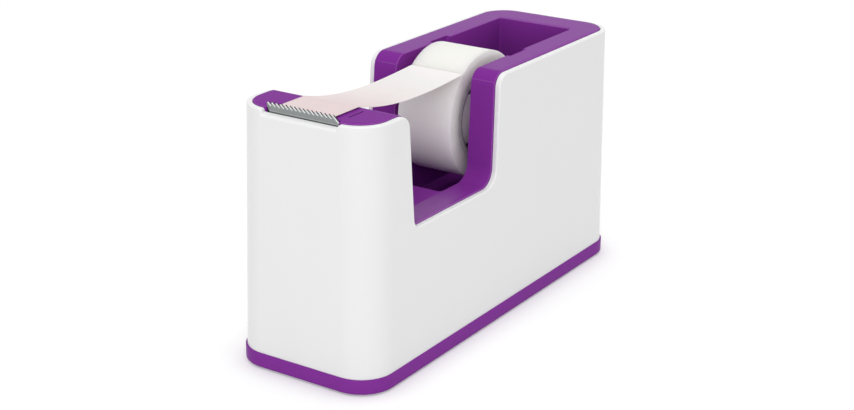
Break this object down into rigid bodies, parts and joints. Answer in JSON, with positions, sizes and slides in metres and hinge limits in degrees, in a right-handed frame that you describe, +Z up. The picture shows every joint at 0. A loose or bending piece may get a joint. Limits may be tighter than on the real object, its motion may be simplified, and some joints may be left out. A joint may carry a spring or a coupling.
{
  "type": "desktop tape dispenser",
  "caption": "Desktop tape dispenser: a drafted white sleeve over a purple liner with a U notch, a toothed cutter at the front and a lift-out tape reel in slanted slots.",
  "frame": {"origin": "on the desk, under the middle of the base tray", "axes": "+Y along the length towards the reel end, with the cutter at -Y; +X across the width; +Z up"},
  "size_m": [0.051, 0.1478, 0.082],
  "materials": {
    "purple_base": "moulded, satin gloss",
    "grip_rubber": "matt sheet",
    "ballast_iron": "as cast",
    "screw_steel": "zinc plated",
    "white_gloss": "high gloss",
    "purple_liner": "moulded, satin gloss",
    "blade_steel": "bright ground teeth",
    "hub_plastic": "moulded",
    "core_plastic": "moulded",
    "tape_film": "matt frosted film"
  },
  "bodies": {
    "housing": {"base_tray": "purple_base", "grip_pad": "grip_rubber", "ballast_block": "ballast_iron", "base_screws": "screw_steel", "outer_shell": "white_gloss", "inner_liner": "purple_liner", "cutter_blade": "blade_steel"},
    "free_tape": {"tape_tail": "tape_film"},
    "reel": {"hub_left": "hub_plastic", "hub_right": "hub_plastic", "tape_core": "core_plastic", "tape_winding": "tape_film"}
  },
  "joints": [
    {"name": "reel_lift", "type": "slide", "parent": "housing", "child": "free_tape", "axis": [0, 0.515, 0.8572], "range_m": [0, 0.05]},
    {"name": "reel_spin", "type": "hinge", "parent": "free_tape", "child": "reel", "pos_m": [0, 0.0108, 0.0617], "axis": [1, 0, 0], "continuous": true}
  ]
}
